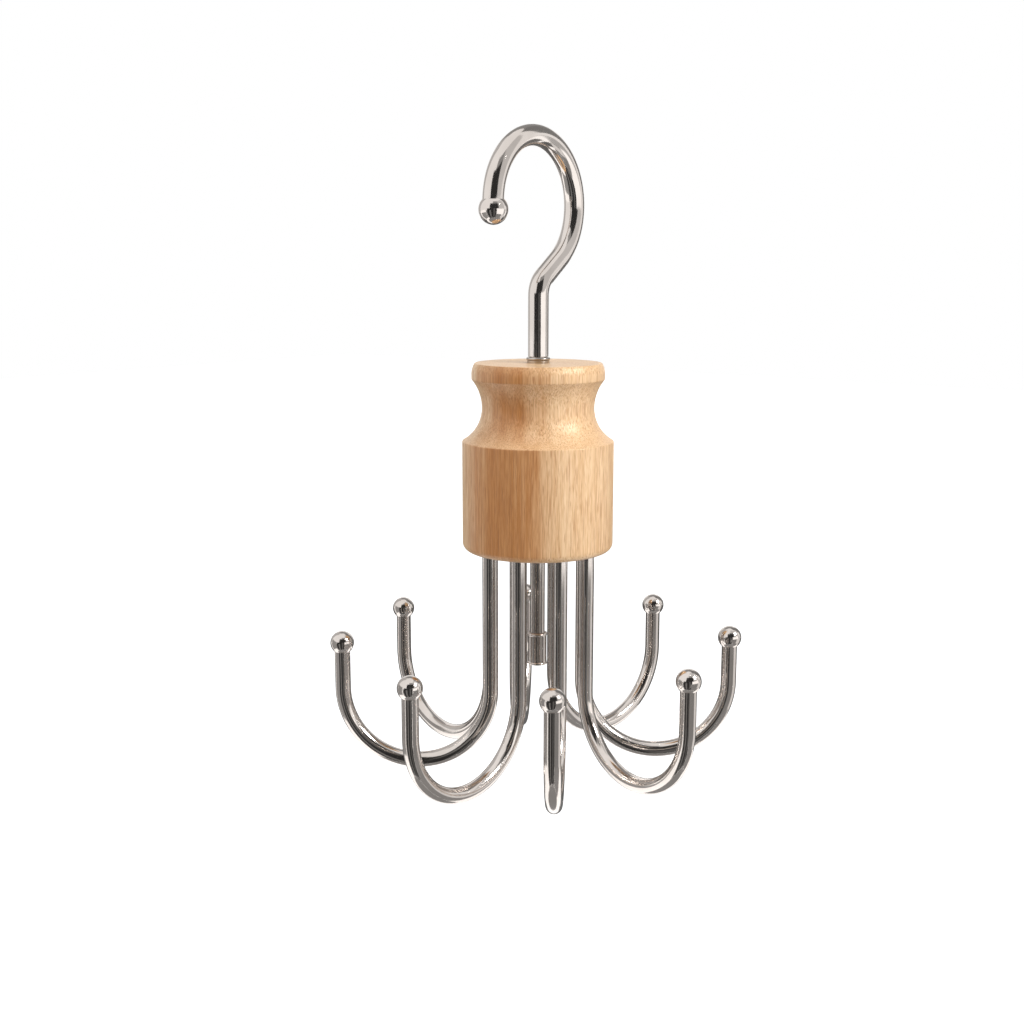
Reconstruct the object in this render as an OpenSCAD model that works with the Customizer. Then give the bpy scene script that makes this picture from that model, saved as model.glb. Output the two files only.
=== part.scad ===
// Revolving tie hanger: a rod hook swivels in a turned wooden body that
// carries eight curved rod hooks with ball tips and a short centre rod.
// Origin: inner crown of the hook's loop, where a closet rail bears.
// +Z is up, the rail runs along Y and the loop's mouth is towards -X.

/* [Hanging hook] */
// Diameter of the hanging hook's rod
hook_rod_d = 6.5; // [5.6:0.1:7]
// Inner diameter of the loop that goes over the rail
loop_inner_d = 34.5; // [30:0.5:42]
// Distance from the loop's centre to the stem's axis
loop_offset = 1.8; // [0:0.1:4]
// Angle of the ball's centre round the loop, counted from +X over the crown
loop_end_angle = 186; // [150:1:195]
// Height of the straight stem above the wood
stem_h = 20.8; // [12:0.1:35]
// Centreline radius of the neck bend
neck_bend_r = 7; // [6:0.5:9]
// Angle of the neck bend
neck_bend_angle = 54; // [46:1:60]
// Diameter of the ball on the hanging hook
hook_ball_d = 9; // [8.6:0.1:12]

/* [Wood body] */
// Height of the turned body
wood_h = 59.5; // [56:0.5:80]
// Diameter of the body's lower cylinder
wood_d = 48; // [47:0.5:56]
// Largest diameter of the top flange
flange_d = 42; // [40:0.5:44]
// Diameter at the waist
waist_d = 35.5; // [32:0.5:37]
// Depth of the waist below the top face
waist_depth = 14; // [12:0.5:15]
// Radius of the cove above the waist
upper_cove_r = 14; // [13:0.5:15]
// Radius of the cove below the waist
lower_cove_r = 12; // [12:0.5:14]
// Radius of the flange's rounded rim
rim_r = 6.5; // [5:0.5:9]
// Depth of the flange's widest level below the top face
rim_depth = 3.5; // [2.5:0.1:4]
// Round along the edge of the underside
foot_edge_r = 2.5; // [1:0.1:4]

/* [Swivel] */
// Diameter of the stem's turned-down journal
journal_d = 5; // [4:0.1:5.2]
// Outer diameter of the bush's barrel
bush_d = 7; // [6.8:0.1:7.2]
// Length of the bush's barrel in the wood
bush_seat = 14; // [8:1:20]
// Height of the bush's neck that shows above the wood
bush_neck_h = 0.8; // [0.4:0.1:2]
// Height of the rounded bead on top of the bush
bush_bead_h = 1; // [0.6:0.1:1.6]
// Outer diameter of the rounded bead on top of the bush
bush_bead_d = 7.6; // [7.4:0.1:9]
// Depth of the bearing ledge below the top face
ledge_depth = 30; // [26:1:33]
// Diameter of the cavity that is bored from the underside
cavity_d = 15; // [14:0.5:20]
// Outer diameter of the thrust washer
washer_d = 13; // [10:0.5:13.5]
// Thickness of the thrust washer
washer_t = 1.2; // [0.8:0.1:2]
// Width across the flats of the lock nut
nut_af = 8; // [8:0.5:10]
// Height of the lock nut's hexagon
nut_hex_h = 4; // [3:0.1:5]
// Height of the lock nut's round collar
nut_collar_h = 1.6; // [1:0.1:2.5]
// Length of the journal that stands out of the lock nut
journal_stand_out = 1; // [0.5:0.1:3]

/* [Tie hooks] */
// Diameter of the tie hooks' rod
tie_rod_d = 5; // [4:0.1:5.6]
// Diameter of the circle that the shanks stand on
shank_circle_d = 33; // [31:0.5:35]
// Turn of the first shank about the stem, from +X
rack_turn = 16.5; // [0:0.5:45]
// Clockwise turn of each hook away from the radial direction
hook_sweep = 27.5; // [15:0.5:35]
// Centreline radius of the half-round bend
tie_bend_r = 24; // [18:0.5:32]
// Length of the straight shank below the wood
shank_drop = 45.2; // [42:0.1:80]
// Rise from the end of the bend to the centre of the ball
tip_rise = 14.9; // [6:0.1:30]
// Depth of the shank's socket in the wood
shank_seat = 22; // [15:1:25]
// Diameter of the balls on the tie hooks
tie_ball_d = 7.6; // [7.2:0.1:10]

/* [Centre rod] */
// Diameter of the centre rod
centre_rod_d = 4.8; // [3:0.1:5]
// Length of the centre rod below the wood
centre_rod_drop = 37; // [30:0.5:60]
// Thickness of the plug that closes the cavity
plug_t = 8; // [7:0.5:12]
// Depth of the rod's socket in the plug
centre_rod_seat = 6; // [3:0.5:6]
// Outer diameter of the end sleeve
sleeve_d = 6.2; // [6:0.1:8]
// Length of the end sleeve
sleeve_l = 10.6; // [6:0.1:20]
// Width of the rolled rim at each end of the sleeve
sleeve_rim_w = 1; // [0.6:0.1:1.4]
// Amount that the rolled rims stand out from the sleeve
sleeve_rim_out = 0.2; // [0.1:0.05:0.5]
// Length at the sleeve's lower end that the rod leaves empty
sleeve_open_l = 1.2; // [0.5:0.1:3]

/* [Clearances] */
// Radial running clearance of the journal in its bush
running_gap = 0.05; // [0.02:0.01:0.1]
// Radial gap for glue round each fixed rod, bush and plug
glue_gap = 0.05; // [0.02:0.01:0.15]
// Axial play of the swivel at the bush and at the washer
axial_play = 0.1; // [0.05:0.01:0.3]
// Radial clearance of the journal in the wood below its bush
wood_bore_gap = 0.3; // [0.2:0.05:0.6]

/* [Hidden] */
$fn = 96;

steel = [0.72, 0.70, 0.68];
bush_metal = [0.66, 0.62, 0.58];
beech = [0.85, 0.66, 0.46];
plug_wood = [0.78, 0.60, 0.42];

// Number of tie hooks round the body
tie_hooks = 8;
// Small turn of each hook about its own shank, left from setting by hand
hook_trim = [0, 0, 0, 0, 8, 0, -5, 0];
// Depth of a ball's socket past the ball's centre
ball_socket_past = 0.8;
// Gap between the end of a rod and the end of its socket
socket_end_gap = 0.1;
// Chamfer on the ends of rods and on the nut's corners
end_chamfer = 0.4;
// Depth of the dished mouth at the sleeve's upper end
sleeve_mouth_l = 1.2;
// Wall of the sleeve at its dished mouth
sleeve_mouth_wall = 0.5;
// Overshoot of a cut or of a join inside another solid
cut = 1;
// Extra angle of the neck bend that is cut off where the run begins
neck_overbend = 5;

// Stem axis, and levels from the crown of the loop downwards
stem_x = loop_offset;
loop_r = (loop_inner_d + hook_rod_d) / 2;
loop_z = -loop_inner_d / 2;
// Straight run that brings the loop over the stem, at its offset
neck_run = (loop_r * cos(neck_bend_angle) - loop_offset
    - neck_bend_r * (1 - cos(neck_bend_angle))) / sin(neck_bend_angle);
neck_rise = (neck_bend_r + loop_r) * sin(neck_bend_angle)
    + neck_run * cos(neck_bend_angle);
neck_z = loop_z - neck_rise;
// Angles round the loop of the rod's end and of the ball's socket
arc_degrees = 180 / PI / loop_r;
socket_end_angle = loop_end_angle + ball_socket_past * arc_degrees;
rod_end_angle = socket_end_angle - socket_end_gap * arc_degrees;
hook_socket_angle = hook_ball_d * arc_degrees;
top_z = neck_z - stem_h;
bush_top_z = top_z + bush_neck_h + bush_bead_h;
shoulder_z = bush_top_z + axial_play;
ledge_z = top_z - ledge_depth;
washer_z = ledge_z - axial_play;
nut_z = washer_z - washer_t;
journal_end_z = nut_z - nut_hex_h - nut_collar_h - journal_stand_out;
underside_z = top_z - wood_h;
bend_z = underside_z - shank_drop;
centre_rod_end_z = underside_z - centre_rod_drop;
sleeve_end_z = centre_rod_end_z - sleeve_open_l;
bush_bore_d = journal_d + 2 * running_gap;

// Rod between two heights on the Z axis
module rod(d, z0, z1) {
    translate([0, 0, z0])
        cylinder(d = d, h = z1 - z0);
}

// Rod between two heights with a chamfer round its upper end
module rod_up(d, z0, z1) {
    rod(d, z0, z1 - end_chamfer);
    translate([0, 0, z1 - end_chamfer])
        cylinder(d1 = d, d2 = d - 2 * end_chamfer, h = end_chamfer);
}

// Bent rod that starts at the origin along +Z and turns towards +X
module rod_bend(d, r, angle) {
    translate([r, 0, 0])
        rotate([90, 0, 180])
            rotate_extrude(angle = angle)
                translate([r, 0])
                    circle(d = d);
}

// Moves children to the straight run above the neck bend, +Z along the run
module at_neck_run() {
    translate([neck_bend_r, 0, 0])
        rotate([0, neck_bend_angle, 0])
            translate([-neck_bend_r, 0, 0])
                children();
}

// Moves children to the loop's centreline at an angle from +X over the crown
module at_loop_angle(angle) {
    translate([0, 0, loop_z])
        rotate([0, -angle, 0])
            translate([loop_r, 0, 0])
                children();
}

// Moves children to the stem's axis
module on_axis() {
    translate([stem_x, 0, 0])
        children();
}

// Moves children to shank i, with +X towards that hook's ball
module at_shank(i) {
    shank_angle = rack_turn + 360 / tie_hooks * (i - 1);
    on_axis()
        rotate([0, 0, shank_angle])
            translate([shank_circle_d / 2, 0, 0])
                rotate([0, 0, hook_trim[i - 1] - hook_sweep])
                    children();
}

// Hanging hook, bent from one rod: journal, stem, neck bend, run and loop.
// The neck bend is swept a little too far and cut square where the run begins.
module hanger_hook() {
    color(steel)
        on_axis()
            translate([0, 0, neck_z]) {
                rod(journal_d, journal_end_z - neck_z, shoulder_z - neck_z + cut);
                rod(hook_rod_d, shoulder_z - neck_z, 0);
                difference() {
                    rod_bend(hook_rod_d, neck_bend_r, neck_bend_angle + neck_overbend);
                    at_neck_run()
                        translate([-hook_rod_d, -hook_rod_d, 0])
                            cube(2 * hook_rod_d);
                }
                at_neck_run() {
                    rod(hook_rod_d, 0, neck_run);
                    translate([0, 0, neck_run])
                        rotate([0, 0, 180])
                            rod_bend(hook_rod_d, loop_r, neck_bend_angle + rod_end_angle);
                }
            }
}

// Ball on the tip of the hanging hook, with a socket that follows the loop
module hook_ball() {
    color(steel)
        difference() {
            at_loop_angle(loop_end_angle)
                sphere(d = hook_ball_d);
            at_loop_angle(socket_end_angle)
                rotate([180, 0, 180])
                    rod_bend(hook_rod_d + 2 * glue_gap, loop_r, hook_socket_angle);
        }
}

// Washer under the bearing ledge, which carries the body's weight
module thrust_washer() {
    color(bush_metal)
        on_axis()
            difference() {
                rod(washer_d, washer_z - washer_t, washer_z);
                rod(bush_bore_d, washer_z - washer_t - cut, washer_z + cut);
            }
}

// Hexagon of the lock nut with its corners turned off at both ends
module nut_hexagon() {
    across_corners = nut_af / cos(30);
    intersection() {
        rotate([0, 0, 30])
            cylinder(d = across_corners, h = nut_hex_h, $fn = 6);
        union() {
            cylinder(d1 = nut_af, d2 = across_corners, h = end_chamfer);
            rod(across_corners, end_chamfer, nut_hex_h - end_chamfer);
            translate([0, 0, nut_hex_h - end_chamfer])
                cylinder(d1 = across_corners, d2 = nut_af, h = end_chamfer);
        }
    }
}

// Lock nut on the journal's end, collar downwards
module lock_nut() {
    collar_d = nut_af - 2 * end_chamfer;
    color(steel)
        on_axis()
            translate([0, 0, nut_z - nut_hex_h])
                difference() {
                    union() {
                        nut_hexagon();
                        rod(collar_d, -nut_collar_h + end_chamfer, 0);
                        translate([0, 0, -nut_collar_h])
                            cylinder(d1 = collar_d - 2 * end_chamfer, d2 = collar_d, h = end_chamfer);
                    }
                    rod(journal_d + 2 * glue_gap, -nut_collar_h - cut, nut_hex_h + cut);
                }
}

// Half-section of the turned body, with the top face at y = 0
module body_profile() {
    flange_r = flange_d / 2;
    waist_r = waist_d / 2;
    body_r = wood_d / 2;
    difference() {
        union() {
            translate([0, -waist_depth])
                square([flange_r, waist_depth]);
            translate([0, -wood_h])
                square([body_r, wood_h - waist_depth]);
        }
        // Cove above the waist
        intersection() {
            translate([waist_r + upper_cove_r, -waist_depth])
                circle(r = upper_cove_r);
            translate([0, -waist_depth])
                square([body_r + upper_cove_r, waist_depth + cut]);
        }
        // Cove below the waist
        intersection() {
            translate([waist_r + lower_cove_r, -waist_depth])
                circle(r = lower_cove_r);
            translate([0, -wood_h])
                square([body_r + lower_cove_r, wood_h - waist_depth]);
        }
        // Rounded rim of the flange
        difference() {
            translate([flange_r - rim_r, -rim_depth])
                square([rim_r + cut, rim_depth + cut]);
            translate([flange_r - rim_r, -rim_depth])
                circle(r = rim_r);
        }
        // Round along the underside's edge
        difference() {
            translate([body_r - foot_edge_r, -wood_h - cut])
                square([foot_edge_r + cut, foot_edge_r + cut]);
            translate([body_r - foot_edge_r, -wood_h + foot_edge_r])
                circle(r = foot_edge_r);
        }
    }
}

// Turned body with its bush bore, journal bore, cavity and shank sockets
module wood_body() {
    color(beech)
        difference() {
            on_axis()
                translate([0, 0, top_z])
                    rotate_extrude()
                        body_profile();
            on_axis() {
                rod(bush_d + 2 * glue_gap, top_z - bush_seat - socket_end_gap, top_z + cut);
                rod(journal_d + 2 * wood_bore_gap, ledge_z - cut, top_z);
                rod(cavity_d, underside_z - cut, ledge_z);
            }
            for (i = [1:tie_hooks])
                at_shank(i)
                    rod(tie_rod_d + 2 * glue_gap, underside_z - cut, underside_z + shank_seat);
        }
}

// Bush in the top of the wood, with a rounded bead round the stem's foot
module top_bush() {
    bead_r = bush_bead_h / 2;
    color(bush_metal)
        on_axis()
            rotate_extrude()
                difference() {
                    union() {
                        translate([0, top_z - bush_seat])
                            square([bush_d / 2, bush_seat + bush_neck_h]);
                        translate([0, bush_top_z - bush_bead_h])
                            square([bush_bead_d / 2 - bead_r, bush_bead_h]);
                        translate([bush_bead_d / 2 - bead_r, bush_top_z - bead_r])
                            circle(r = bead_r);
                    }
                    translate([-cut, top_z - bush_seat - cut])
                        square([cut + bush_bore_d / 2, bush_seat + bush_neck_h + bush_bead_h + 2 * cut]);
                }
}

// Plug that closes the cavity and carries the centre rod
module bottom_plug() {
    color(plug_wood)
        on_axis()
            difference() {
                rod(cavity_d - 2 * glue_gap, underside_z, underside_z + plug_t);
                rod(centre_rod_d + 2 * glue_gap, underside_z - cut, underside_z + centre_rod_seat);
            }
}

// Straight rod that hangs from the plug
module centre_rod() {
    color(steel)
        on_axis()
            rod_up(centre_rod_d, centre_rod_end_z, underside_z + centre_rod_seat - socket_end_gap);
}

// Half-section of the sleeve, with its lower end at y = 0
module sleeve_profile() {
    sleeve_r = sleeve_d / 2;
    rim_r = sleeve_rim_w / 2;
    difference() {
        union() {
            translate([0, rim_r])
                square([sleeve_r, sleeve_l - sleeve_rim_w]);
            for (y = [rim_r, sleeve_l - rim_r])
                translate([0, y]) {
                    translate([0, -rim_r])
                        square([sleeve_r + sleeve_rim_out - rim_r, sleeve_rim_w]);
                    translate([sleeve_r + sleeve_rim_out - rim_r, 0])
                        circle(r = rim_r);
                }
        }
        translate([-cut, -cut])
            square([cut + centre_rod_d / 2 + glue_gap, sleeve_l + 2 * cut]);
        translate([-cut, sleeve_l - sleeve_mouth_l])
            square([cut + sleeve_r - sleeve_mouth_wall, sleeve_mouth_l + cut]);
    }
}

// Sleeve with rolled rims on the centre rod's lower end
module end_sleeve() {
    color(steel)
        on_axis()
            translate([0, 0, sleeve_end_z])
                rotate_extrude()
                    sleeve_profile();
}

// Tie hook i: shank in its socket, half-round bend and upright tip
module tie_hook(i) {
    color(steel)
        at_shank(i) {
            rod_up(tie_rod_d, bend_z, underside_z + shank_seat - socket_end_gap);
            translate([0, 0, bend_z]) {
                mirror([0, 0, 1])
                    rod_bend(tie_rod_d, tie_bend_r, 180);
                translate([2 * tie_bend_r, 0, 0])
                    rod_up(tie_rod_d, 0, tip_rise + ball_socket_past - socket_end_gap);
            }
        }
}

// Ball on the tip of tie hook i, with a blind socket for the rod
module tip_ball(i) {
    color(steel)
        at_shank(i)
            translate([2 * tie_bend_r, 0, bend_z + tip_rise])
                difference() {
                    sphere(d = tie_ball_d);
                    rod(tie_rod_d + 2 * glue_gap, -tie_ball_d, ball_socket_past);
                }
}

hanger_hook();
hook_ball();
thrust_washer();
lock_nut();
wood_body();
top_bush();
bottom_plug();
centre_rod();
end_sleeve();
for (i = [1:tie_hooks]) {
    tie_hook(i);
    tip_ball(i);
}
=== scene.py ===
# Revolving tie hanger: polished rods and balls on a turned beech body.
import math

import bmesh
import bpy
from mathutils import Matrix, Vector


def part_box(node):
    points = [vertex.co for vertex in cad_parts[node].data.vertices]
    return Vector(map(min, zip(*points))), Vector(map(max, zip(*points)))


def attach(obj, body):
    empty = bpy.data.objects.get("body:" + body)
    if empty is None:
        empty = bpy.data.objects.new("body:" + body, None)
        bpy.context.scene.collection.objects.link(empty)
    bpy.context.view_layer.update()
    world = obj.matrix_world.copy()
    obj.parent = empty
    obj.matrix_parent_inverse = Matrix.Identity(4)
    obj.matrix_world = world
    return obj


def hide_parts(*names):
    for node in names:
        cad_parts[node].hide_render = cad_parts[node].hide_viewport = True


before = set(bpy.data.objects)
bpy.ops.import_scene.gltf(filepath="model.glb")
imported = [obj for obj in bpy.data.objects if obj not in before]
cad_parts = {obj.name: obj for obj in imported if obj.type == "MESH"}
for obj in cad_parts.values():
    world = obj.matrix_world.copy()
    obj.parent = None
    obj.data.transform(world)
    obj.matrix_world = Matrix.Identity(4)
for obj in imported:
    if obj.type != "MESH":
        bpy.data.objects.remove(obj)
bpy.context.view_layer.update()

MM = 0.001
UP = Vector((0, 0, 1))
DOWN = Vector((0, 0, -1))

# Turned body: radii, and depths below its top face, in step with the frame's solids
FLANGE_R = 21 * MM
WAIST_R = 17.75 * MM
WAIST_DEPTH = 14 * MM
UPPER_COVE_R = 14 * MM
LOWER_COVE_R = 12 * MM
RIM_R = 6.5 * MM
RIM_DEPTH = 3.5 * MM
FOOT_EDGE_R = 2.5 * MM
CAVITY_DEPTH = 30 * MM

# Hanging hook: LOOP_END is the ball's place round the loop from +X over the crown, and NECK_BEND is how
# far the neck bends from the stem
HOOK_ROD_R = 3.25 * MM
LOOP_INNER_R = 17.25 * MM
LOOP_OFFSET = 1.8 * MM
LOOP_END = math.radians(186)
NECK_BEND_R = 7 * MM
NECK_BEND = math.radians(54)
HOOK_BALL_R = 4.5 * MM

# Bush and its bead, and the play between the bead and the hook's shoulder
BUSH_R = 3.5 * MM
BUSH_BORE_R = 2.55 * MM
BUSH_BEAD_R = 3.8 * MM
BUSH_BEAD_H = 1 * MM
AXIAL_PLAY = 0.1 * MM

# Tie hooks, angles in degrees: azimuth of the first shank, sweep back from the radial direction, and
# each hook's own small turn
TIE_HOOKS = 8
TIE_ROD_R = 2.5 * MM
SHANK_CIRCLE_R = 16.5 * MM
RACK_TURN = 16.5
HOOK_SWEEP = 27.5
HOOK_TRIM = [0, 0, 0, 0, 8, 0, -5, 0]
TIE_BEND_R = 24 * MM
TIP_RISE = 14.9 * MM
SHANK_SEAT = 22 * MM
SOCKET_END_GAP = 0.1 * MM
TIE_BALL_R = 3.8 * MM

# Centre rod and its sleeve, whose rims roll round to SLEEVE_RIM_ARC degrees past the outward direction
CENTRE_ROD_R = 2.4 * MM
SLEEVE_R = 3.1 * MM
SLEEVE_RIM_R = 0.5 * MM
SLEEVE_RIM_OUT = 0.2 * MM
SLEEVE_RIM_ARC = 66
SLEEVE_MOUTH_L = 1.2 * MM
SLEEVE_MOUTH_WALL = 0.5 * MM

# Gap round a glued rod, and the small breaks on edges
GLUE_GAP = 0.05 * MM
EDGE_SOFT = 0.35 * MM
END_CHAMFER = 0.4 * MM
MOUTH_CHAMFER = 0.3 * MM

# Balls: the recess round the rod, the width of its lip, and the point that rounds it, in lip widths
BALL_RECESS = 1 * MM
BALL_LIP = 0.12 * MM
LIP_IN = 0.3
LIP_DOWN = 0.25

# Fineness of the meshes: sides of rods and of turned solids, and steps along arcs
ROD_SIDES = 64
BODY_SIDES = 192
SMALL_SIDES = 96
SOCKET_SIDES = 48
BEND_STEP = math.radians(2.5)
RIM_STEPS = 10
UPPER_COVE_STEPS = 22
LOWER_COVE_STEPS = 26
FOOT_STEPS = 10
BEAD_STEPS = 14
BALL_STEPS = 48
SLEEVE_RIM_STEPS = 12
CORNER_STEPS = 4
CARD_STEPS = 12

# Corners of profiles: the turn in degrees from which they are rounded, and the most of an edge that goes
SOFT_CORNER = 25
CORNER_SHARE = 0.45

# Meshes: the angle from which edges stay sharp, lengths that count as none, and how far a cutter sticks out
SHARP_EDGE = math.radians(35)
MERGE_DISTANCE = 1e-7
NO_LENGTH = 1e-8
OVERCUT = 2 * MM

# Levels and places from the frame
wood_low, wood_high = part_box("wood_body")
plug_low, plug_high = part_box("bottom_plug")
TOP_Z = wood_high.z
UNDERSIDE_Z = wood_low.z
BODY_R = (wood_high.x - wood_low.x) / 2
PLUG_R = (plug_high.x - plug_low.x) / 2
AXIS = Vector((LOOP_OFFSET, 0, 0))
LOOP_R = LOOP_INNER_R + HOOK_ROD_R
LOOP_CENTRE = Vector((0, 0, -LOOP_INNER_R))
BEND_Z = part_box("tie_hook_1")[0].z + TIE_BEND_R + TIE_ROD_R

# Camera: angles in degrees, lens and sensor in millimetres
VIEW_AZIMUTH = -53
CAMERA_DISTANCE = 428 * MM
CAMERA_Z = -35.5 * MM
CAMERA_PITCH = 10.29
CAMERA_YAW = 1.10
CAMERA_LENS = 47.85
SENSOR_WIDTH = 36
CLIP_START = 0.01
CLIP_END = 50

# Beech: colours, and the azimuth round the stem's axis of the side that is darkened with painted shade, the
# side turned to the camera's front left
BEECH_LIGHT = (0.895, 0.630, 0.378)
BEECH_DARK = (0.730, 0.452, 0.226)
# Colour multiplied in as painted shade on the side turned to the camera's front left
BEECH_PAINTED_SHADE = (0.700, 0.425, 0.200)
BEECH_FLECK = (0.420, 0.160, 0.048)
PLUG_LIGHT = (0.70, 0.42, 0.22)
PLUG_DARK = (0.54, 0.28, 0.12)
PAINTED_SHADE_ANGLE = math.radians(186)

# Grain of the beech: noise scales per millimetre along X, Y and Z, stretched along Z
BAND_SCALE = (0.25, 0.25, 0.010)
STREAK_SCALE = (1.9, 1.9, 0.060)
FIBRE_SCALE = (4.0, 4.0, 0.28)
DARK_STREAK_SCALE = (2.6, 2.6, 0.08)
FLECK_SCALE = (3.2, 3.2, 0.18)
GRAIN_ROUGHNESS = 0.6

# Tone of the beech: how much each grain counts in it, and which tones are all light and all dark
BANDS_IN_TONE = 0.18
STREAKS_IN_TONE = 0.42
FIBRES_IN_TONE = 0.40
TONE_LIGHT = 0.40
TONE_DARK = 0.60

# Painted shade on the side turned to the camera's front left: how much the grain moves its edge, and where
# it starts and is full
BANDS_IN_PAINTED_SHADE = 0.30
STREAKS_IN_PAINTED_SHADE = 0.10
PAINTED_SHADE_START = 0.88
PAINTED_SHADE_FULL = 1.26

# Dark streaks and flecks: the noise where they start and are full, and how strong they are
DARK_STREAK_START = 0.54
FLECK_START = 0.58
MARK_FULL = 0.70
DARK_STREAK_AMOUNT = 0.50
FLECK_AMOUNT = 0.52

# Lacquer on the beech: its gloss, and the relief of fibres and flecks under it
LACQUER_ROUGHNESS = 0.28
FIBRES_IN_ROUGHNESS = 0.2
LACQUER_SPECULAR = 0.75
RELIEF_DEPTH = 0.02 * MM
FIBRES_IN_RELIEF = 0.5
FLECKS_IN_RELIEF = -0.8

# Metals: colours
STEEL_BRIGHT = (0.770, 0.710, 0.665)
STEEL_DULL = (0.690, 0.630, 0.585)
# The bush's colours are darker than the steel's, as painted shade for the dark ring round the foot of the
# stem
BUSH_SHADED_BRIGHT = (0.60, 0.56, 0.52)
BUSH_SHADED_DULL = (0.48, 0.44, 0.41)
PLAIN_BRIGHT = (0.60, 0.60, 0.60)
PLAIN_DULL = (0.50, 0.50, 0.51)

# Metals: noise scales per millimetre along X, Y and Z of clouding, of waves and of fine lines
CLOUD_SCALE = (0.11, 0.11, 0.07)
WAVE_SCALE = (0.30, 0.30, 0.18)
DRAWN_LINES = (1.2, 1.2, 0.08)
BALL_LINES = (1.2, 1.2, 1.2)
TURNED_LINES = (0.2, 0.2, 4.0)
PLAIN_LINES = (4.0, 4.0, 4.0)

# Metals: shares of clouding and lines in the roughness, the noise's usual range, and the lines' depth
CLOUDS_IN_ROUGHNESS = 0.6
LINES_IN_ROUGHNESS = 0.4
NOISE_LOW = 0.3
NOISE_HIGH = 0.7
LINE_DEPTH = 0.0006 * MM

# Sockets of the Mix node that take its factor and its two colours, and the one that gives the result
MIX_INPUTS = (0, 6, 7)
MIX_RESULT = 2

# Studio: a far floor, and a surround that gives AMBIENT of the light that it shows
WHITE = (1, 1, 1, 1)
BLACK = (0, 0, 0, 1)
FLOOR_COLOUR = (0.86, 0.86, 0.86, 1)
FLOOR_ROUGHNESS = 0.9
FLOOR_Z = -1.15
FLOOR_REACH = 12
FLOOR_LIFT = 0.85
AMBIENT = 0.52
OBJECT_CENTRE = AXIS + Vector((0, 0, -0.1))

# Lamps: name, azimuth and elevation in degrees from the camera's side, then distance, width and height
# in metres, and watts
SOFTBOXES = [
    ("key", 66, 33, 0.9, 0.36, 0.42, 4.4),
    ("front", 30, 24, 0.9, 0.5, 0.6, 2.0),
    ("fill", -112, 12, 0.9, 0.6, 0.9, 2.3),
    ("top", 0, 88, 1.0, 0.8, 0.8, 2.0),
]

# Distances of the cards from the object's middle, in metres
FAR = 1.0
BEFORE_FAR = 0.98
GLINT_DISTANCE = 0.97
NEAR = 0.27
NEAREST = 0.19

# Cards that reflections show in front of the white surround, whose brightness is 1: name, range of
# azimuths, range of elevations, brightness, distance
CARDS = [
    ("front_dark", (-47, 27), (-62, 10), 0.03, FAR),
    ("front_dark_high", (-27, 42), (10, 45), 0.035, FAR),
    ("front_high", (-5, 50), (45, 60), 0.32, FAR),
    ("front_edge", (-57, -47), (-62, -1), 0.24, FAR),
    ("front_slit", (-30, -17), (-60, -2), 0.22, BEFORE_FAR),
    ("front_slit_right", (1, 14), (-60, 10), 0.13, BEFORE_FAR),
    ("window", (27, 88), (-29, 8), 1.35, FAR),
    ("glint", (58, 76), (25, 41), 26.0, GLINT_DISTANCE),
    ("glint_flag", (48, 86), (38, 66), 0.66, NEAREST),
    ("right_low", (28, 104), (-62, -29), 0.30, FAR),
    ("right_gap", (88, 106), (-29, 5), 0.50, FAR),
    ("right_high", (42, 92), (8, 60), 0.66, FAR),
    ("right_edge", (118, 150), (-26, 20), 0.20, FAR),
    ("right_edge_high", (106, 150), (20, 64), 0.24, FAR),
    ("left_edge", (-150, -118), (-40, -4), 0.38, FAR),
    ("left_edge_high", (-150, -112), (-4, 60), 0.56, FAR),
    ("back_low", (150, 210), (-45, -6), 0.16, FAR),
    ("back_high", (150, 210), (30, 64), 0.32, FAR),
    ("below", (0, 360), (-90, -62), 0.30, FAR),
    ("left_flag_low", (-104, -57), (-42, 0), 0.34, NEAR),
    ("right_flag_low", (20, 72), (-42, -18), 0.27, NEAR),
    ("right_stripe_low", (72, 108), (-42, -18), 0.85, NEAR),
    ("back_flag_low", (108, 246), (-42, -18), 0.14, NEAR),
]


# Mesh helpers

def add_object(name, bm):
    """Object from a bmesh, shaded smooth apart from sharp edges."""
    bmesh.ops.remove_doubles(bm, verts=bm.verts, dist=MERGE_DISTANCE)
    bmesh.ops.recalc_face_normals(bm, faces=bm.faces)
    mesh = bpy.data.meshes.new(name)
    bm.to_mesh(mesh)
    bm.free()
    mesh.shade_smooth()
    mesh.set_sharp_from_angle(angle=SHARP_EDGE)
    made = bpy.data.objects.new(name, mesh)
    bpy.context.scene.collection.objects.link(made)
    return made


def axis_point(height):
    """Point on the stem's axis."""
    return AXIS + Vector((0, 0, height))


def axis_station(height, radius):
    """Station of an upright rod on the stem's axis."""
    return axis_point(height), UP, radius


def arc_stations(centre, first, along, radius, angle, rod_r):
    """Stations round a bend: first is the unit vector to its start, along the direction there."""
    steps = max(2, math.ceil(angle / BEND_STEP))
    made = []
    for k in range(steps + 1):
        turn = angle * k / steps
        out = math.cos(turn) * first + math.sin(turn) * along
        ahead = math.cos(turn) * along - math.sin(turn) * first
        made.append((centre + radius * out, ahead, rod_r))
    return made


def ring_skin(bm, rings):
    """Faces between closed rings of vertices, with a face over each end."""
    count = len(rings[0])
    for a, b in zip(rings, rings[1:]):
        for k in range(count):
            n = (k + 1) % count
            bm.faces.new((a[k], a[n], b[n], b[k]))
    bm.faces.new(rings[0])
    bm.faces.new(rings[-1])


def sweep(name, stations, side):
    """Round rod along a path square to side. A station is a point, a direction and a radius."""
    bm = bmesh.new()
    rings = []
    for point, along, radius in stations:
        out = side.cross(along).normalized()
        ring = []
        for k in range(ROD_SIDES):
            turn = 2 * math.pi * k / ROD_SIDES
            ring.append(bm.verts.new(point + radius * (math.cos(turn) * out + math.sin(turn) * side)))
        rings.append(ring)
    ring_skin(bm, rings)
    return add_object(name, bm)


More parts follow.
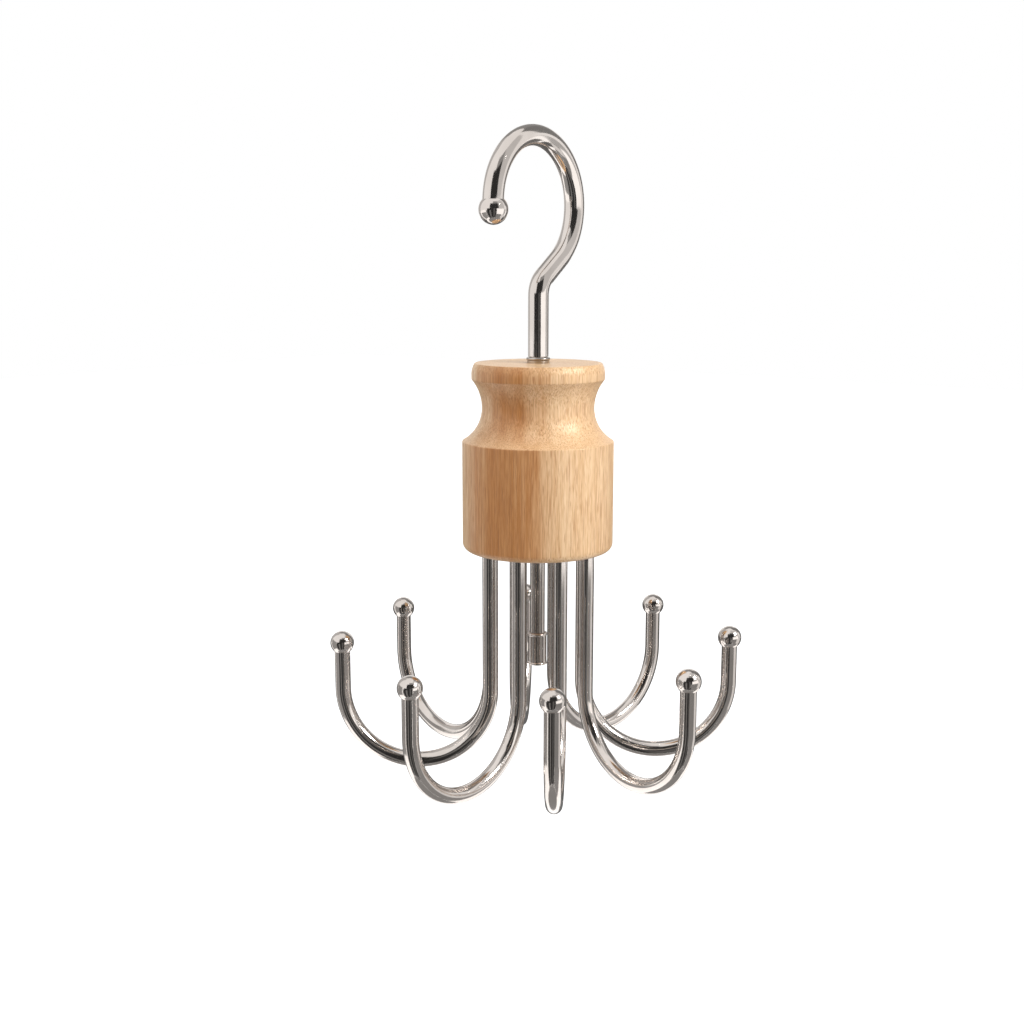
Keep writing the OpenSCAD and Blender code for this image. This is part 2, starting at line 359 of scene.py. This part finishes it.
def turned_row(bm, radius, height, centre, turn_to, sides):
    """Vertices of a turned solid at one point of its profile: a ring, or one vertex on the axis."""
    if radius < NO_LENGTH:
        return [bm.verts.new(centre + turn_to @ Vector((0, 0, height)))]
    row = []
    for k in range(sides):
        turn = 2 * math.pi * k / sides
        spot = Vector((radius * math.cos(turn), radius * math.sin(turn), height))
        row.append(bm.verts.new(centre + turn_to @ spot))
    return row


def row_faces(bm, a, b, sides):
    """Faces between two rows of a turned solid, with triangles where a row is one vertex."""
    for k in range(sides):
        n = (k + 1) % sides
        corners = [a[k % len(a)], a[n % len(a)], b[n % len(b)], b[k % len(b)]]
        bm.faces.new([v for i, v in enumerate(corners) if v not in corners[:i]])


def revolve(name, profile, centre, axis=UP, sides=SMALL_SIDES):
    """Turned solid from (radius, height) points, which start and end on the axis or form a loop."""
    turn_to = UP.rotation_difference(axis).to_matrix()
    bm = bmesh.new()
    rows = [turned_row(bm, radius, height, centre, turn_to, sides) for radius, height in profile]
    on_axis = profile[0][0] < NO_LENGTH
    followers = rows[1:] if on_axis else rows[1:] + rows[:1]
    for a, b in zip(rows, followers):
        row_faces(bm, a, b, sides)
    return add_object(name, bm)


def arc(centre_r, centre_h, radius, start, end, steps):
    """Profile points on an arc, angles in degrees from the outward direction."""
    made = []
    for k in range(steps + 1):
        turn = math.radians(start + (end - start) * k / steps)
        made.append((centre_r + radius * math.cos(turn), centre_h + radius * math.sin(turn)))
    return made


def rounded_corner(here, back, ahead, size):
    """Points of a curve that rounds a corner between the edges back and ahead."""
    a = here + back.normalized() * min(size, back.length * CORNER_SHARE)
    b = here + ahead.normalized() * min(size, ahead.length * CORNER_SHARE)
    made = []
    for i in range(CORNER_STEPS + 1):
        t = i / CORNER_STEPS
        made.append(tuple((1 - t) ** 2 * a + 2 * t * (1 - t) * here + t ** 2 * b))
    return made


def soften(profile, size):
    """Rounds the corners of a closed profile that turn by SOFT_CORNER degrees or more."""
    made = []
    for k, spot in enumerate(profile):
        here = Vector(spot)
        back = Vector(profile[k - 1]) - here
        ahead = Vector(profile[(k + 1) % len(profile)]) - here
        short = back.length < NO_LENGTH or ahead.length < NO_LENGTH
        if short or math.degrees((-back).angle(ahead)) < SOFT_CORNER:
            made.append(tuple(here))
        else:
            made += rounded_corner(here, back, ahead, size)
    return made


def cut_with(target, cutters):
    """Subtracts the cutters from the target's mesh and removes them."""
    for cutter in cutters:
        step = target.modifiers.new("cut", "BOOLEAN")
        step.operation = "DIFFERENCE"
        step.solver = "EXACT"
        step.object = cutter
    graph = bpy.context.evaluated_depsgraph_get()
    cut_mesh = bpy.data.meshes.new_from_object(target.evaluated_get(graph))
    target.modifiers.clear()
    target.data = cut_mesh
    for cutter in cutters:
        bpy.data.objects.remove(cutter)
    cut_mesh.shade_smooth()
    cut_mesh.set_sharp_from_angle(angle=SHARP_EDGE)


# Material helpers

def node_material(name):
    """New material with its node tree, and its shader."""
    material = bpy.data.materials.new(name)
    material.use_nodes = True
    return material, material.node_tree, material.node_tree.nodes["Principled BSDF"]


def feed(tree, socket, value):
    """Links a socket to an input, or sets the input to a value."""
    if isinstance(value, bpy.types.NodeSocket):
        tree.links.new(value, socket)
    else:
        socket.default_value = value


def math_node(tree, operation, first, second):
    """Math node on sockets or numbers; returns its output."""
    made = tree.nodes.new("ShaderNodeMath")
    made.operation = operation
    feed(tree, made.inputs[0], first)
    feed(tree, made.inputs[1], second)
    return made.outputs[0]


def vector_math(tree, operation, first, second=None):
    """Vector Math node on sockets or vectors; a dot product returns its number."""
    made = tree.nodes.new("ShaderNodeVectorMath")
    made.operation = operation
    feed(tree, made.inputs[0], first)
    if second is not None:
        feed(tree, made.inputs[1], second)
    return made.outputs["Value" if operation == "DOT_PRODUCT" else "Vector"]


def noise(tree, coords, scale, detail, roughness=0.5):
    """Noise on coordinates that are multiplied by scale, per millimetre."""
    place = tree.nodes.new("ShaderNodeMapping")
    place.vector_type = "POINT"
    place.inputs["Scale"].default_value = [s / MM for s in scale]
    tree.links.new(coords, place.inputs["Vector"])
    made = tree.nodes.new("ShaderNodeTexNoise")
    made.inputs["Scale"].default_value = 1
    made.inputs["Detail"].default_value = detail
    made.inputs["Roughness"].default_value = roughness
    tree.links.new(place.outputs["Vector"], made.inputs["Vector"])
    return made.outputs["Fac"]


def ramp(tree, value, stops):
    """Colour ramp from (position, colour) stops."""
    made = tree.nodes.new("ShaderNodeValToRGB")
    band = made.color_ramp
    while len(band.elements) > 1:
        band.elements.remove(band.elements[-1])
    band.elements[0].position = stops[0][0]
    band.elements[0].color = (*stops[0][1], 1)
    for position, colour in stops[1:]:
        band.elements.new(position).color = (*colour, 1)
    tree.links.new(value, made.inputs["Fac"])
    return made.outputs["Color"]


def span(tree, value, low, high, to_low=0, to_high=1):
    """Smooth step from to_low, at low and below, to to_high, at high and above."""
    made = tree.nodes.new("ShaderNodeMapRange")
    made.interpolation_type = "SMOOTHSTEP"
    made.inputs["From Min"].default_value = low
    made.inputs["From Max"].default_value = high
    made.inputs["To Min"].default_value = to_low
    made.inputs["To Max"].default_value = to_high
    tree.links.new(value, made.inputs["Value"])
    return made.outputs["Result"]


def blend_colour(tree, kind, amount, first, second):
    """Mix node for colours; amount and the colours may be sockets or values."""
    made = tree.nodes.new("ShaderNodeMix")
    made.data_type = "RGBA"
    made.blend_type = kind
    for place, value in zip(MIX_INPUTS, (amount, first, second)):
        feed(tree, made.inputs[place], (*value, 1) if isinstance(value, tuple) else value)
    return made.outputs[MIX_RESULT]


def bump(tree, height, depth, normal=None):
    """Bump of a given depth in metres, on top of another if a normal is given."""
    made = tree.nodes.new("ShaderNodeBump")
    made.inputs["Strength"].default_value = 1
    made.inputs["Distance"].default_value = depth
    tree.links.new(height, made.inputs["Height"])
    if normal is not None:
        tree.links.new(normal, made.inputs["Normal"])
    return made.outputs["Normal"]


def weighted(tree, parts):
    """Sum of sockets, each times its weight."""
    total = None
    for socket, weight in parts:
        term = math_node(tree, "MULTIPLY", socket, weight)
        total = term if total is None else math_node(tree, "ADD", total, term)
    return total


# Wood

def painted_shade_side(tree, place):
    """Cosine of the turn round the stem's axis away from the side that gets painted shade."""
    from_axis = vector_math(tree, "SUBTRACT", place, AXIS)
    flat = vector_math(tree, "MULTIPLY", from_axis, (1, 1, 0))
    toward = (math.cos(PAINTED_SHADE_ANGLE), math.sin(PAINTED_SHADE_ANGLE), 0)
    return vector_math(tree, "DOT_PRODUCT", vector_math(tree, "NORMALIZE", flat), toward)


def painted_shade_cover(tree, coords, bands, streaks):
    """How much painted shade a spot has, most on the side turned to the camera's front left. Faces that
    look straight up or down have none.
    """
    place = coords.outputs["Object"]
    side = weighted(tree, [(painted_shade_side(tree, place), 1), (bands, BANDS_IN_PAINTED_SHADE),
                           (streaks, STREAKS_IN_PAINTED_SHADE)])
    upright = vector_math(tree, "DOT_PRODUCT", coords.outputs["Normal"], UP)
    flank = math_node(tree, "SUBTRACT", 1, math_node(tree, "MULTIPLY", upright, upright))
    return math_node(tree, "MULTIPLY", span(tree, side, PAINTED_SHADE_START, PAINTED_SHADE_FULL), flank)


def add_marks(tree, place, colour, mark_colour, scale, start, amount):
    """Colour with dark marks on it that run with the grain, and where the marks are."""
    marks = span(tree, noise(tree, place, scale, detail=1), start, MARK_FULL)
    cover = math_node(tree, "MULTIPLY", marks, amount)
    return blend_colour(tree, "MIX", cover, colour, mark_colour), marks


def lacquer(tree, shader, fibres, flecks):
    """Thin satin lacquer that still shows the fibres and sinks into the flecks."""
    uneven = math_node(tree, "MULTIPLY", fibres, FIBRES_IN_ROUGHNESS)
    tree.links.new(math_node(tree, "ADD", uneven, LACQUER_ROUGHNESS), shader.inputs["Roughness"])
    shader.inputs["Specular IOR Level"].default_value = LACQUER_SPECULAR
    relief = weighted(tree, [(fibres, FIBRES_IN_RELIEF), (flecks, FLECKS_IN_RELIEF)])
    tree.links.new(bump(tree, relief, RELIEF_DEPTH), shader.inputs["Normal"])


def beech_material(name, light, dark):
    """Lacquered beech: soft streaks, painted shade on the side turned to the camera's front left, fine
    fibres and short dark flecks.
    """
    material, tree, shader = node_material(name)
    coords = tree.nodes.new("ShaderNodeTexCoord")
    place = coords.outputs["Object"]
    bands = noise(tree, place, BAND_SCALE, detail=2)
    streaks = noise(tree, place, STREAK_SCALE, detail=2, roughness=GRAIN_ROUGHNESS)
    fibres = noise(tree, place, FIBRE_SCALE, detail=1, roughness=GRAIN_ROUGHNESS)
    tone = weighted(tree, [(bands, BANDS_IN_TONE), (streaks, STREAKS_IN_TONE), (fibres, FIBRES_IN_TONE)])
    colour = ramp(tree, tone, [(TONE_LIGHT, light), (TONE_DARK, dark)])
    # Painted shade: the side turned to the camera's front left is darkened
    painted_shade_amount = painted_shade_cover(tree, coords, bands, streaks)
    colour = blend_colour(tree, "MULTIPLY", painted_shade_amount, colour, BEECH_PAINTED_SHADE)
    colour, _ = add_marks(tree, place, colour, BEECH_FLECK, DARK_STREAK_SCALE,
                          DARK_STREAK_START, DARK_STREAK_AMOUNT)
    colour, flecks = add_marks(tree, place, colour, BEECH_FLECK, FLECK_SCALE, FLECK_START, FLECK_AMOUNT)
    tree.links.new(colour, shader.inputs["Base Color"])
    lacquer(tree, shader, fibres, flecks)
    return material


# Metal

def metal_material(name, bright, dull, roughness, line_scale, wave_depth):
    """Metal with faint clouding, drawing or turning lines and slightly wavy reflections."""
    material, tree, shader = node_material(name)
    place = tree.nodes.new("ShaderNodeTexCoord").outputs["Object"]
    clouds = noise(tree, place, CLOUD_SCALE, detail=3)
    lines = noise(tree, place, line_scale, detail=2)
    colour = blend_colour(tree, "MIX", span(tree, clouds, NOISE_LOW, NOISE_HIGH), dull, bright)
    tree.links.new(colour, shader.inputs["Base Color"])
    mixed = weighted(tree, [(clouds, CLOUDS_IN_ROUGHNESS), (lines, LINES_IN_ROUGHNESS)])
    tree.links.new(span(tree, mixed, NOISE_LOW, NOISE_HIGH, *roughness), shader.inputs["Roughness"])
    shader.inputs["Metallic"].default_value = 1
    waves = bump(tree, noise(tree, place, WAVE_SCALE, detail=1), wave_depth)
    tree.links.new(bump(tree, lines, LINE_DEPTH, normal=waves), shader.inputs["Normal"])
    return material


beech = beech_material("beech", BEECH_LIGHT, BEECH_DARK)
plug_beech = beech_material("plug_beech", PLUG_LIGHT, PLUG_DARK)
hook_steel = metal_material("hook_steel", STEEL_BRIGHT, STEEL_DULL, roughness=(0.09, 0.14),
                            line_scale=DRAWN_LINES, wave_depth=0.003 * MM)
rod_steel = metal_material("rod_steel", STEEL_BRIGHT, STEEL_DULL, roughness=(0.10, 0.16),
                           line_scale=DRAWN_LINES, wave_depth=0.003 * MM)
ball_steel = metal_material("ball_steel", STEEL_BRIGHT, STEEL_DULL, roughness=(0.09, 0.14),
                            line_scale=BALL_LINES, wave_depth=0.004 * MM)
# Bush metal darkened as painted shade round the foot of the stem
bush_metal = metal_material("bush_metal", BUSH_SHADED_BRIGHT, BUSH_SHADED_DULL, roughness=(0.08, 0.18),
                            line_scale=TURNED_LINES, wave_depth=0.01 * MM)
plain_steel = metal_material("plain_steel", PLAIN_BRIGHT, PLAIN_DULL, roughness=(0.25, 0.4),
                             line_scale=PLAIN_LINES, wave_depth=0.02 * MM)


def give_material(piece, material):
    """Makes a material the only one of a piece."""
    piece.data.materials.clear()
    piece.data.materials.append(material)


def finish_piece(piece, node, body, material):
    """Gives a piece its material and its body, and hides the solid that it stands for."""
    give_material(piece, material)
    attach(piece, body)
    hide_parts(node)


# Turned body

def body_profile():
    """Outline of the turned body as (radius, height above the top face)."""
    bore = BUSH_R + GLUE_GAP
    cavity_r = PLUG_R + GLUE_GAP
    rim_start = math.degrees(math.asin(RIM_DEPTH / RIM_R))
    upper_r = WAIST_R + UPPER_COVE_R
    upper = math.degrees(math.acos((upper_r - FLANGE_R) / UPPER_COVE_R))
    lower_r = WAIST_R + LOWER_COVE_R
    lower = math.degrees(math.acos((lower_r - BODY_R) / LOWER_COVE_R))
    height = TOP_Z - UNDERSIDE_Z
    outline = [(bore, 0)]
    outline += arc(FLANGE_R - RIM_R, -RIM_DEPTH, RIM_R, rim_start, 0, RIM_STEPS)
    outline += arc(upper_r, -WAIST_DEPTH, UPPER_COVE_R, 180 - upper, 180, UPPER_COVE_STEPS)
    outline += arc(lower_r, -WAIST_DEPTH, LOWER_COVE_R, 180, 180 + lower, LOWER_COVE_STEPS)[1:]
    outline += arc(BODY_R - FOOT_EDGE_R, -height + FOOT_EDGE_R, FOOT_EDGE_R, 0, -90, FOOT_STEPS)
    outline += [(cavity_r, -height), (cavity_r, -CAVITY_DEPTH), (bore, -CAVITY_DEPTH)]
    return outline


def shank_place(i):
    """Place of shank i on the level of the origin, and the unit vector towards its ball."""
    angle = math.radians(RACK_TURN + 360 / TIE_HOOKS * (i - 1))
    heading = angle + math.radians(HOOK_TRIM[i - 1] - HOOK_SWEEP)
    foot = AXIS + SHANK_CIRCLE_R * Vector((math.cos(angle), math.sin(angle), 0))
    return foot, Vector((math.cos(heading), math.sin(heading), 0))


def socket_cutter(i):
    """Tool for the socket of shank i, which reaches out of the underside as its mouth widens."""
    hole_r = TIE_ROD_R + GLUE_GAP
    profile = [(0, -OVERCUT), (hole_r + MOUTH_CHAMFER + OVERCUT, -OVERCUT), (hole_r, MOUTH_CHAMFER),
               (hole_r, SHANK_SEAT), (0, SHANK_SEAT)]
    foot = shank_place(i)[0]
    spot = Vector((foot.x, foot.y, UNDERSIDE_Z))
    return revolve(f"socket_{i}", profile, spot, sides=SOCKET_SIDES)


def wood_body():
    """Turned body with softened edges and a chamfered socket for each shank."""
    profile = soften(body_profile(), EDGE_SOFT)
    body = revolve("turned_body", profile, axis_point(TOP_Z), sides=BODY_SIDES)
    cut_with(body, [socket_cutter(i) for i in range(1, TIE_HOOKS + 1)])
    finish_piece(body, "wood_body", "rack", beech)


def top_bush():
    """Bush with a rounded bead on its neck."""
    low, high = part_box("top_bush")
    bead_r = BUSH_BEAD_H / 2
    height = high.z - low.z
    profile = [(BUSH_BORE_R, 0), (BUSH_R, 0), (BUSH_R, height - BUSH_BEAD_H)]
    profile += arc(BUSH_BEAD_R - bead_r, height - bead_r, bead_r, -90, 90, BEAD_STEPS)
    profile += [(BUSH_BORE_R, height)]
    bush = revolve("bead_bush", profile, axis_point(low.z))
    finish_piece(bush, "top_bush", "rack", bush_metal)


def bottom_plug():
    """Plug with a broken edge and the rod's socket."""
    hole_r = CENTRE_ROD_R + GLUE_GAP
    height = plug_high.z - plug_low.z
    profile = [(hole_r, MOUTH_CHAMFER), (hole_r + MOUTH_CHAMFER, 0), (PLUG_R - MOUTH_CHAMFER, 0),
               (PLUG_R, MOUTH_CHAMFER), (PLUG_R, height), (hole_r, height)]
    plug = revolve("cavity_plug", profile, axis_point(plug_low.z))
    finish_piece(plug, "bottom_plug", "rack", plug_beech)


# Rods

def neck_rise():
    """Height from the start of the neck bend to the loop's centre."""
    across = LOOP_R * math.cos(NECK_BEND) - LOOP_OFFSET - NECK_BEND_R * (1 - math.cos(NECK_BEND))
    run = across / math.sin(NECK_BEND)
    return (NECK_BEND_R + LOOP_R) * math.sin(NECK_BEND) + run * math.cos(NECK_BEND)


def hanger_hook():
    """Hanging hook: journal, stem, neck bend, straight run and loop."""
    foot_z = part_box("hanger_hook")[0].z
    shoulder_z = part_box("top_bush")[1].z + AXIAL_PLAY
    journal_r = BUSH_BORE_R - GLUE_GAP
    stations = [
        axis_station(foot_z, journal_r - END_CHAMFER),
        axis_station(foot_z + END_CHAMFER, journal_r),
        axis_station(shoulder_z, journal_r),
        axis_station(shoulder_z, HOOK_ROD_R - MOUTH_CHAMFER / 2),
        axis_station(shoulder_z + MOUTH_CHAMFER / 2, HOOK_ROD_R),
    ]
    neck = axis_point(LOOP_CENTRE.z - neck_rise())
    bend_centre = neck + Vector((NECK_BEND_R, 0, 0))
    stations += arc_stations(bend_centre, Vector((-1, 0, 0)), UP, NECK_BEND_R, NECK_BEND, HOOK_ROD_R)
    out = Vector((math.cos(NECK_BEND), 0, -math.sin(NECK_BEND)))
    ahead = Vector((math.sin(NECK_BEND), 0, math.cos(NECK_BEND)))
    stations += arc_stations(LOOP_CENTRE, out, ahead, LOOP_R, NECK_BEND + LOOP_END, HOOK_ROD_R)
    hook = sweep("bent_hook", stations, Vector((0, -1, 0)))
    finish_piece(hook, "hanger_hook", "hanger", hook_steel)


def tie_hook(i):
    """Tie hook: shank in its socket, half-round bend and upright tip."""
    foot, heading = shank_place(i)
    head_z = UNDERSIDE_Z + SHANK_SEAT - SOCKET_END_GAP
    bend = foot + Vector((0, 0, BEND_Z))
    stations = [
        (foot + Vector((0, 0, head_z)), DOWN, TIE_ROD_R - END_CHAMFER),
        (foot + Vector((0, 0, head_z - END_CHAMFER)), DOWN, TIE_ROD_R),
    ]
    centre = bend + TIE_BEND_R * heading
    stations += arc_stations(centre, -heading, DOWN, TIE_BEND_R, math.pi, TIE_ROD_R)
    tip = bend + 2 * TIE_BEND_R * heading + Vector((0, 0, TIP_RISE))
    stations += [(tip, UP, TIE_ROD_R)]
    hook = sweep(f"bent_tie_hook_{i}", stations, UP.cross(heading))
    finish_piece(hook, f"tie_hook_{i}", "rack", rod_steel)


def ball(name, centre, towards_rod, ball_r, rod_r):
    """Ball with a lip and a shallow recess round the rod that enters it."""
    hole_r = rod_r + GLUE_GAP
    lip_r = hole_r + BALL_LIP
    lip_h = math.sqrt(ball_r ** 2 - lip_r ** 2)
    mouth = math.degrees(math.acos(lip_r / ball_r))
    profile = [(0, -ball_r)] + arc(0, 0, ball_r, -90, mouth, BALL_STEPS)[1:]
    profile += [(hole_r + BALL_LIP * LIP_IN, lip_h - BALL_LIP * LIP_DOWN), (hole_r, lip_h - BALL_LIP)]
    profile += [(hole_r, lip_h - BALL_RECESS), (0, lip_h - BALL_RECESS)]
    return revolve(name, profile, centre, axis=towards_rod)


def tip_ball(i):
    """Ball on the tip of tie hook i."""
    foot, heading = shank_place(i)
    centre = foot + 2 * TIE_BEND_R * heading + Vector((0, 0, BEND_Z + TIP_RISE))
    made = ball(f"round_tip_{i}", centre, DOWN, TIE_BALL_R, TIE_ROD_R)
    finish_piece(made, f"tip_ball_{i}", "rack", ball_steel)


def loop_point(angle):
    """Point on the loop's centreline."""
    return LOOP_CENTRE + LOOP_R * Vector((math.cos(angle), 0, math.sin(angle)))


def hook_ball():
    """Ball on the hanging hook's tip, with its recess square to the rod there."""
    centre = loop_point(LOOP_END)
    entry = loop_point(LOOP_END - HOOK_BALL_R / LOOP_R)
    made = ball("round_hook_tip", centre, (entry - centre).normalized(), HOOK_BALL_R, HOOK_ROD_R)
    finish_piece(made, "hook_ball", "hanger", ball_steel)


def centre_rod():
    """Straight rod under the plug, with a chamfered lower end."""
    low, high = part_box("centre_rod")
    stations = [
        axis_station(low.z, CENTRE_ROD_R - END_CHAMFER / 2),
        axis_station(low.z + END_CHAMFER / 2, CENTRE_ROD_R),
        axis_station(high.z, CENTRE_ROD_R),
    ]
    rod = sweep("straight_rod", stations, Vector((0, 1, 0)))
    finish_piece(rod, "centre_rod", "rack", rod_steel)


def end_sleeve():
    """Sleeve with rolled rims and a dished upper mouth."""
    low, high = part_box("end_sleeve")
    height = high.z - low.z
    bore = CENTRE_ROD_R + GLUE_GAP
    rim_x = SLEEVE_R + SLEEVE_RIM_OUT - SLEEVE_RIM_R
    rim_h = height - SLEEVE_RIM_R
    mouth_r = SLEEVE_R - SLEEVE_MOUTH_WALL
    profile = [(bore, MOUTH_CHAMFER), (bore + MOUTH_CHAMFER, 0)]
    profile += arc(rim_x, SLEEVE_RIM_R, SLEEVE_RIM_R, -90, SLEEVE_RIM_ARC, SLEEVE_RIM_STEPS)
    profile += arc(rim_x, rim_h, SLEEVE_RIM_R, -SLEEVE_RIM_ARC, 90, SLEEVE_RIM_STEPS)
    profile += [(mouth_r, height - SLEEVE_RIM_R / 2), (mouth_r, height - SLEEVE_MOUTH_L),
                (bore, height - SLEEVE_MOUTH_L)]
    sleeve = revolve("rolled_sleeve", profile, axis_point(low.z))
    finish_piece(sleeve, "end_sleeve", "rack", rod_steel)


wood_body()
top_bush()
bottom_plug()
hanger_hook()
hook_ball()
centre_rod()
end_sleeve()
for number in range(1, TIE_HOOKS + 1):
    tie_hook(number)
    tip_ball(number)

for node in ("thrust_washer", "lock_nut"):
    give_material(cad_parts[node], plain_steel)


# Camera

def direction(azimuth, elevation):
    """Unit vector at an elevation and at an azimuth from the camera's side, positive to its right."""
    turn = math.radians(VIEW_AZIMUTH + azimuth)
    rise = math.radians(elevation)
    flat = math.cos(rise)
    return Vector((math.sin(turn) * flat, -math.cos(turn) * flat, math.sin(rise)))


def make_camera():
    """Camera at the photo's viewing angle, pointed a little left of the stem."""
    data = bpy.data.cameras.new("camera")
    data.lens = CAMERA_LENS
    data.sensor_width = SENSOR_WIDTH
    data.clip_start = CLIP_START
    data.clip_end = CLIP_END
    camera = bpy.data.objects.new("camera", data)
    camera.location = AXIS + CAMERA_DISTANCE * direction(0, 0) + Vector((0, 0, CAMERA_Z))
    ahead = Matrix.Rotation(math.radians(CAMERA_YAW), 3, "Z") @ -direction(0, 0)
    pitch = math.radians(CAMERA_PITCH)
    ahead = ahead * math.cos(pitch) - Vector((0, 0, math.sin(pitch)))
    camera.rotation_mode = "QUATERNION"
    camera.rotation_quaternion = ahead.to_track_quat("-Z", "Y")
    bpy.context.scene.collection.objects.link(camera)
    bpy.context.scene.camera = camera


# Studio

def background_factor(tree):
    """1 for camera, glossy and transmission rays, 0 for the rest."""
    path = tree.nodes.new("ShaderNodeLightPath")
    seen = math_node(tree, "MAXIMUM", path.outputs["Is Camera Ray"], path.outputs["Is Glossy Ray"])
    return math_node(tree, "MAXIMUM", seen, path.outputs["Is Transmission Ray"])


def make_world():
    """White background, dimmer for the light that it gives."""
    world = bpy.data.worlds.new("studio")
    bpy.context.scene.world = world
    world.use_nodes = True
    tree = world.node_tree
    glow = tree.nodes["Background"]
    glow.inputs["Color"].default_value = WHITE
    strength = math_node(tree, "MULTIPLY", background_factor(tree), 1 - AMBIENT)
    tree.links.new(math_node(tree, "ADD", strength, AMBIENT), glow.inputs["Strength"])


def make_floor():
    """Pale floor, lifted to white where it is seen, which keeps the object's shadow."""
    bm = bmesh.new()
    bmesh.ops.create_grid(bm, x_segments=1, y_segments=1, size=FLOOR_REACH)
    floor = add_object("floor", bm)
    floor.location.z = FLOOR_Z
    material, tree, shader = node_material("floor")
    shader.inputs["Base Color"].default_value = FLOOR_COLOUR
    shader.inputs["Roughness"].default_value = FLOOR_ROUGHNESS
    shader.inputs["Emission Color"].default_value = WHITE
    lift = math_node(tree, "MULTIPLY", background_factor(tree), FLOOR_LIFT)
    tree.links.new(lift, shader.inputs["Emission Strength"])
    give_material(floor, material)


def card_material(name, level):
    """Black surface that glows evenly."""
    material, _, shader = node_material(name)
    shader.inputs["Base Color"].default_value = BLACK
    shader.inputs["Specular IOR Level"].default_value = 0
    shader.inputs["Emission Color"].default_value = WHITE
    shader.inputs["Emission Strength"].default_value = level
    material.cycles.emission_sampling = "NONE"
    return material


def card(name, azimuths, elevations, level, distance):
    """Curved card between two azimuths and two elevations, which only reflections show."""
    bm = bmesh.new()
    rows = []
    for i in range(CARD_STEPS + 1):
        rise = elevations[0] + (elevations[1] - elevations[0]) * i / CARD_STEPS
        row = []
        for k in range(CARD_STEPS + 1):
            turn = azimuths[0] + (azimuths[1] - azimuths[0]) * k / CARD_STEPS
            row.append(bm.verts.new(OBJECT_CENTRE + distance * direction(turn, rise)))
        rows.append(row)
    for a, b in zip(rows, rows[1:]):
        for k in range(CARD_STEPS):
            bm.faces.new((a[k], a[k + 1], b[k + 1], b[k]))
    panel = add_object(name, bm)
    panel.visible_camera = False
    panel.visible_diffuse = False
    panel.visible_shadow = False
    give_material(panel, card_material(name, level))


def softbox(name, azimuth, elevation, distance, width, height, watts):
    """Rectangular area lamp that faces the object; reflections show cards in its place."""
    data = bpy.data.lights.new(name, "AREA")
    data.shape = "RECTANGLE"
    data.size = width
    data.size_y = height
    data.energy = watts
    lamp = bpy.data.objects.new(name, data)
    toward = direction(azimuth, elevation)
    lamp.location = OBJECT_CENTRE + distance * toward
    lamp.rotation_mode = "QUATERNION"
    lamp.rotation_quaternion = toward.to_track_quat("Z", "Y")
    lamp.visible_camera = False
    lamp.visible_glossy = False
    bpy.context.scene.collection.objects.link(lamp)


make_camera()
make_world()
make_floor()
for values in SOFTBOXES:
    softbox(*values)
for values in CARDS:
    card(*values)

scene = bpy.context.scene
scene.view_settings.view_transform = "Standard"
